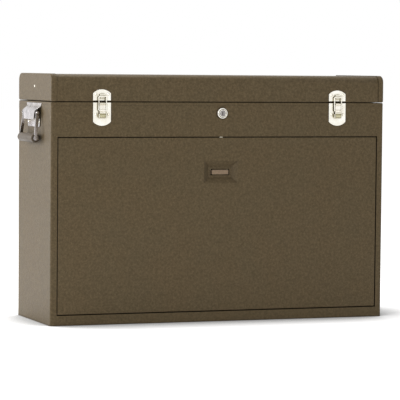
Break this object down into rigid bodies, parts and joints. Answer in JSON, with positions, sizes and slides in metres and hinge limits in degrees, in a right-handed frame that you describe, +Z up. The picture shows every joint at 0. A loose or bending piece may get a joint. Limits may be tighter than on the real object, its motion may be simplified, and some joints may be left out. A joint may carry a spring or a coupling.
{
  "type": "machinist tool chest",
  "caption": "Sheet-steel tool chest with a hinged lid over a top till, a lift-off drop front, shallow drawers, draw latches, a lock and folding side handles.",
  "frame": {"origin": "middle of the case's base, on the surface the chest stands on", "axes": "+Z up, the front faces -Y, +X to the right seen from the front"},
  "size_m": [0.6968, 0.2221, 0.4572],
  "materials": {
    "brown_paint": "fine wrinkle paint, low gloss",
    "tan_paint": "satin paint",
    "nickel": "bright nickel plate",
    "zinc_steel": "zinc plate",
    "felt": "short wool felt",
    "grip": "moulded roll grip, low gloss"
  },
  "bodies": {
    "case": {"bottom_rail": "brown_paint", "case_floor": "brown_paint", "case_rivets": "nickel", "case_wrap": "brown_paint", "drawer_runners": "zinc_steel", "drawer_shelf": "brown_paint", "front_apron": "brown_paint", "handle_feet": "nickel", "handle_plate_left": "nickel", "handle_plate_right": "nickel", "hinge_leaf_case": "nickel", "hinge_pin": "nickel", "latch_bases": "nickel", "latch_pins": "nickel", "lock_body": "nickel", "lock_nut": "zinc_steel", "partitions": "brown_paint", "till_felt": "felt", "till_floor": "brown_paint", "top_rim": "brown_paint"},
    "drawer_bottom": {"drawer_bottom": "brown_paint", "pulls_bottom": "nickel"},
    "drawer_deep": {"drawer_deep": "brown_paint", "pulls_deep": "nickel"},
    "drawer_middle": {"drawer_middle": "brown_paint", "pulls_middle": "nickel"},
    "drawer_lower_shallow": {"drawer_lower_shallow": "brown_paint", "pulls_lower_shallow": "nickel"},
    "drawer_upper_shallow": {"drawer_upper_shallow": "brown_paint", "pulls_upper_shallow": "nickel"},
    "drawer_second_left": {"drawer_second_left": "brown_paint", "pull_second_left": "nickel"},
    "drawer_second_centre": {"drawer_second_centre": "brown_paint", "pull_second_centre": "nickel"},
    "drawer_second_right": {"drawer_second_right": "brown_paint", "pull_second_right": "nickel"},
    "drawer_top_left": {"drawer_top_left": "brown_paint", "pull_top_left": "nickel"},
    "drawer_top_centre": {"drawer_top_centre": "brown_paint", "pull_top_centre": "nickel"},
    "drawer_top_right": {"drawer_top_right": "brown_paint", "pull_top_right": "nickel"},
    "panel": {"front_panel": "brown_paint", "panel_grip_bar": "tan_paint"},
    "lid": {"lid_wrap": "brown_paint", "lid_end_left": "brown_paint", "lid_end_right": "brown_paint", "hinge_leaf_lid": "nickel", "strikes": "nickel", "lid_rivets": "nickel"},
    "lock_plug": {"lock_plug": "nickel", "lock_cam": "zinc_steel"},
    "lever_left": {"latch_lever_left": "nickel"},
    "bail_left": {"latch_bail_left": "nickel"},
    "handle_left": {"handle_bail_left": "nickel", "handle_grip_left": "grip"},
    "lever_right": {"latch_lever_right": "nickel"},
    "bail_right": {"latch_bail_right": "nickel"},
    "handle_right": {"handle_bail_right": "nickel", "handle_grip_right": "grip"}
  },
  "joints": [
    {"name": "panel_out", "type": "slide", "parent": "case", "child": "panel", "axis": [0, -1, 0], "range_m": [0, 0.42]},
    {"name": "lid_hinge", "type": "hinge", "parent": "case", "child": "lid", "pos_m": [0, 0.1077, 0.4064], "axis": [-1, 0, 0], "range_deg": [0, 100]},
    {"name": "lock_turn", "type": "hinge", "parent": "case", "child": "lock_plug", "pos_m": [0, -0.1048, 0.386], "axis": [0, -1, 0], "range_deg": [0, 90]},
    {"name": "lever_left_hinge", "type": "hinge", "parent": "case", "child": "lever_left", "pos_m": [-0.2328, -0.1093, 0.3815], "axis": [1, 0, 0], "range_deg": [0, 110]},
    {"name": "bail_left_hinge", "type": "hinge", "parent": "lever_left", "child": "bail_left", "pos_m": [-0.2328, -0.1093, 0.3905], "axis": [1, 0, 0], "range_deg": [0, 60]},
    {"name": "handle_left_hinge", "type": "hinge", "parent": "case", "child": "handle_left", "pos_m": [-0.3362, 0, 0.3855], "axis": [0, 1, 0], "range_deg": [0, 100]},
    {"name": "lever_right_hinge", "type": "hinge", "parent": "case", "child": "lever_right", "pos_m": [0.2328, -0.1093, 0.3815], "axis": [1, 0, 0], "range_deg": [0, 110]},
    {"name": "bail_right_hinge", "type": "hinge", "parent": "lever_right", "child": "bail_right", "pos_m": [0.2328, -0.1093, 0.3905], "axis": [1, 0, 0], "range_deg": [0, 60]},
    {"name": "handle_right_hinge", "type": "hinge", "parent": "case", "child": "handle_right", "pos_m": [0.3362, 0, 0.3855], "axis": [0, -1, 0], "range_deg": [0, 100]},
    {"name": "drawer_bottom_slide", "type": "slide", "parent": "case", "child": "drawer_bottom", "axis": [0, -1, 0], "range_m": [0, 0.165]},
    {"name": "drawer_deep_slide", "type": "slide", "parent": "case", "child": "drawer_deep", "axis": [0, -1, 0], "range_m": [0, 0.165]},
    {"name": "drawer_middle_slide", "type": "slide", "parent": "case", "child": "drawer_middle", "axis": [0, -1, 0], "range_m": [0, 0.165]},
    {"name": "drawer_lower_shallow_slide", "type": "slide", "parent": "case", "child": "drawer_lower_shallow", "axis": [0, -1, 0], "range_m": [0, 0.165]},
    {"name": "drawer_upper_shallow_slide", "type": "slide", "parent": "case", "child": "drawer_upper_shallow", "axis": [0, -1, 0], "range_m": [0, 0.165]},
    {"name": "drawer_second_left_slide", "type": "slide", "parent": "case", "child": "drawer_second_left", "axis": [0, -1, 0], "range_m": [0, 0.165]},
    {"name": "drawer_second_centre_slide", "type": "slide", "parent": "case", "child": "drawer_second_centre", "axis": [0, -1, 0], "range_m": [0, 0.165]},
    {"name": "drawer_second_right_slide", "type": "slide", "parent": "case", "child": "drawer_second_right", "axis": [0, -1, 0], "range_m": [0, 0.165]},
    {"name": "drawer_top_left_slide", "type": "slide", "parent": "case", "child": "drawer_top_left", "axis": [0, -1, 0], "range_m": [0, 0.165]},
    {"name": "drawer_top_centre_slide", "type": "slide", "parent": "case", "child": "drawer_top_centre", "axis": [0, -1, 0], "range_m": [0, 0.165]},
    {"name": "drawer_top_right_slide", "type": "slide", "parent": "case", "child": "drawer_top_right", "axis": [0, -1, 0], "range_m": [0, 0.165]}
  ],
  "couplings": [
    {"joint": "drawer_bottom_slide", "follows": "panel_out", "ratio": 0.39286},
    {"joint": "drawer_deep_slide", "follows": "panel_out", "ratio": 0.35238},
    {"joint": "drawer_middle_slide", "follows": "panel_out", "ratio": 0.3119},
    {"joint": "drawer_lower_shallow_slide", "follows": "panel_out", "ratio": 0.27143},
    {"joint": "drawer_upper_shallow_slide", "follows": "panel_out", "ratio": 0.23095},
    {"joint": "drawer_second_left_slide", "follows": "panel_out", "ratio": 0.19048},
    {"joint": "drawer_second_centre_slide", "follows": "panel_out", "ratio": 0.19048},
    {"joint": "drawer_second_right_slide", "follows": "panel_out", "ratio": 0.19048},
    {"joint": "drawer_top_left_slide", "follows": "panel_out", "ratio": 0.14762},
    {"joint": "drawer_top_centre_slide", "follows": "panel_out", "ratio": 0.14762},
    {"joint": "drawer_top_right_slide", "follows": "panel_out", "ratio": 0.14762}
  ]
}
